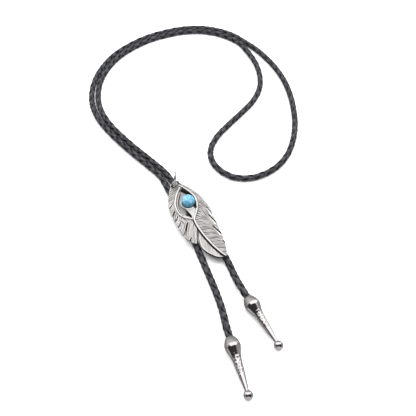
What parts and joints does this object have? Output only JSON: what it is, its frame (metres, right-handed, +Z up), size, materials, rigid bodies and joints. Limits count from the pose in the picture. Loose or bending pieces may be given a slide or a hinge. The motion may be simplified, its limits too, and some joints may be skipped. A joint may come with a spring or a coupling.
{
  "type": "bolo tie",
  "caption": "Bolo tie lying flat: a braided cord looped through a cast metal feather slide with a round blue stone, with a turned metal tip ending in a ball at each end of the cord.",
  "frame": {"origin": "middle of the clip's flat back, on the surface that the tie lies on", "axes": "+Z up from the surface through the feather, +Y towards the neck loop, -Y towards the tips"},
  "size_m": [0.1463, 0.3045, 0.0164],
  "materials": {
    "antiqued_silver": "cast relief with dark antiquing in its grooves",
    "turquoise": "polished stone",
    "bright_wire": "bright",
    "clip_steel": "plain",
    "braided_leather": "satin",
    "polished_gunmetal": "polished, with dark hammered marks"
  },
  "bodies": {
    "root": {"feather_plate": "antiqued_silver", "turquoise_stone": "turquoise", "bail_ring": "bright_wire", "back_clip": "clip_steel", "cord": "braided_leather", "tip_left": "polished_gunmetal", "tip_right": "polished_gunmetal"}
  },
  "joints": []
}
